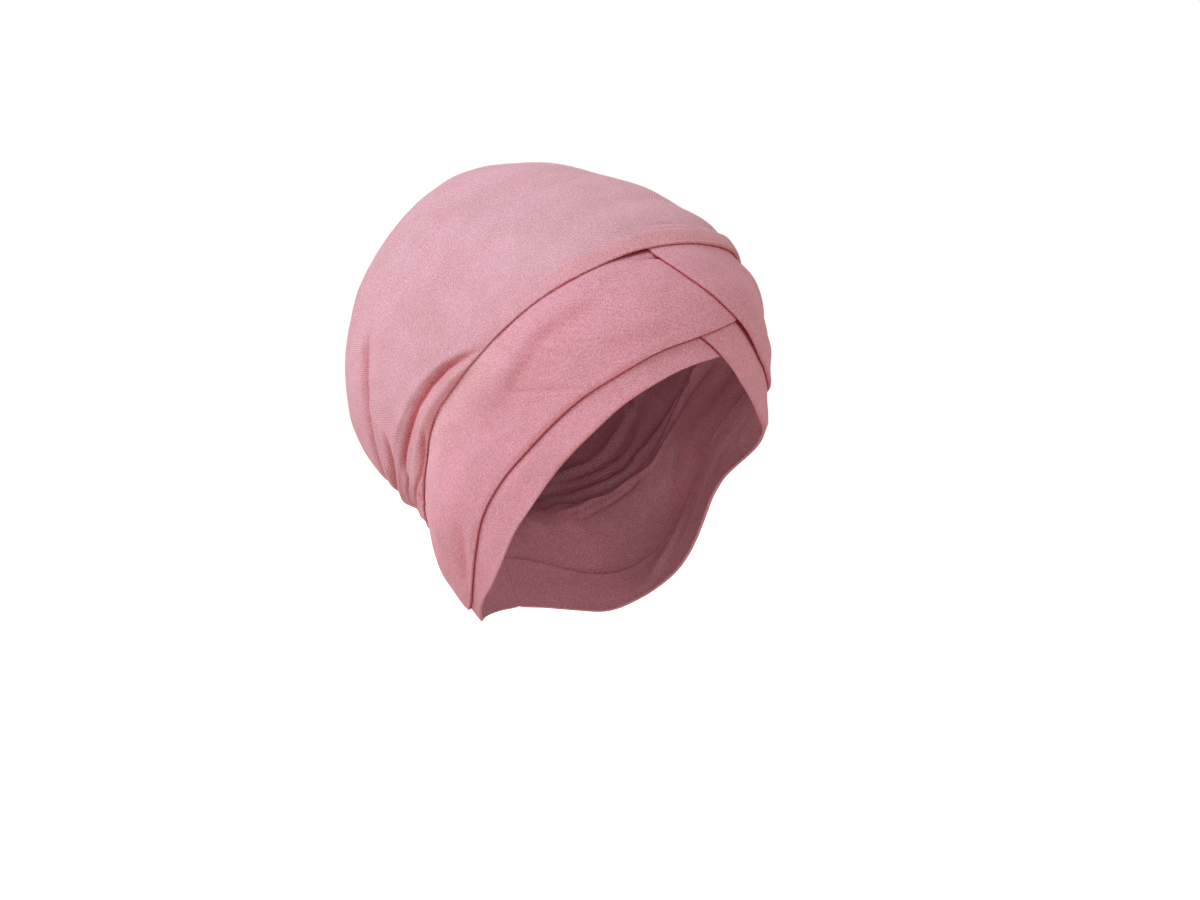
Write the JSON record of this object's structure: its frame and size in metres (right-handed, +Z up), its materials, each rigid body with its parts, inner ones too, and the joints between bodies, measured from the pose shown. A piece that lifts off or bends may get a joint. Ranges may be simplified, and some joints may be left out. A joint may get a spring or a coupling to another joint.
{
  "type": "hijab cap",
  "caption": "Slouchy jersey under-cap with a criss-cross banded front, in the shape it takes on a head.",
  "frame": {"origin": "middle of the wearer's head, level with the brow", "axes": "+Z up, the wearer faces -Y, the wearer's left is +X"},
  "size_m": [0.2094, 0.2804, 0.2685],
  "materials": {
    "crown_jersey": "matt, one layer of fine knit",
    "band_jersey": "matt, folded fine knit"
  },
  "bodies": {
    "root": {"crown": "crown_jersey", "upper_left_band": "band_jersey", "upper_right_band": "band_jersey", "lower_left_band": "band_jersey", "lower_right_band": "band_jersey"}
  },
  "joints": []
}
